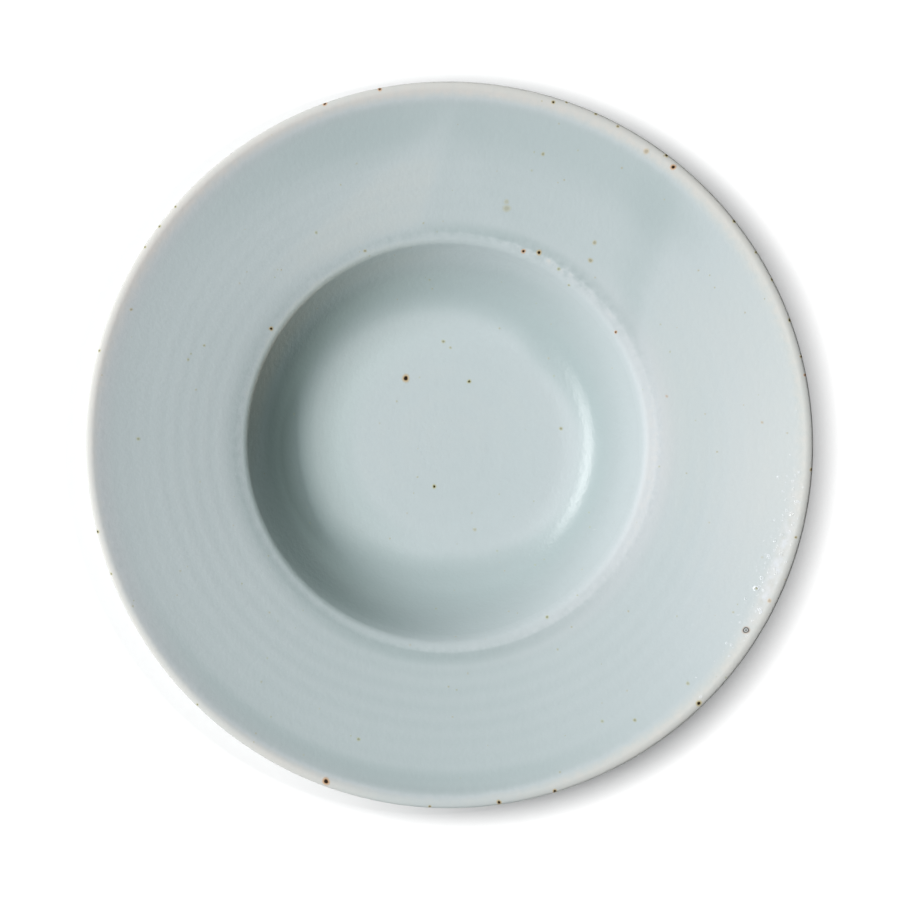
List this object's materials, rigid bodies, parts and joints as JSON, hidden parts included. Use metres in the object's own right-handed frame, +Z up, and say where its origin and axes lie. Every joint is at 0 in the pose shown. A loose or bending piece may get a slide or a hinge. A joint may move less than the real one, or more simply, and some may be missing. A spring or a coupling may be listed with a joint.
{
  "type": "pasta plate",
  "caption": "Round wide-rimmed stoneware pasta plate with a deep coved well, a rolled well edge, a lip that turns up and a bare foot ring, in pale speckled glaze.",
  "frame": {"origin": "on the table, at the middle of the foot ring", "axes": "+Z up along the plate's axis of turning; the plate is round, so X and Y are free, and +Y is the top of the picture"},
  "size_m": [0.28, 0.28, 0.0461],
  "materials": {
    "stoneware": "bare fired stoneware, matt and slightly rough",
    "glaze": "pale grey-blue gloss glaze",
    "thin_glaze": "the same glaze run thin and broken to cream, gloss",
    "iron": "melted iron mineral, dark brown, semi-gloss"
  },
  "bodies": {
    "root": {"clay_body": "stoneware", "face_glaze": "glaze", "lip_glaze": "thin_glaze", "underside_glaze": "glaze", "foot_recess_glaze": "glaze", "iron_specks": "iron"}
  },
  "joints": []
}
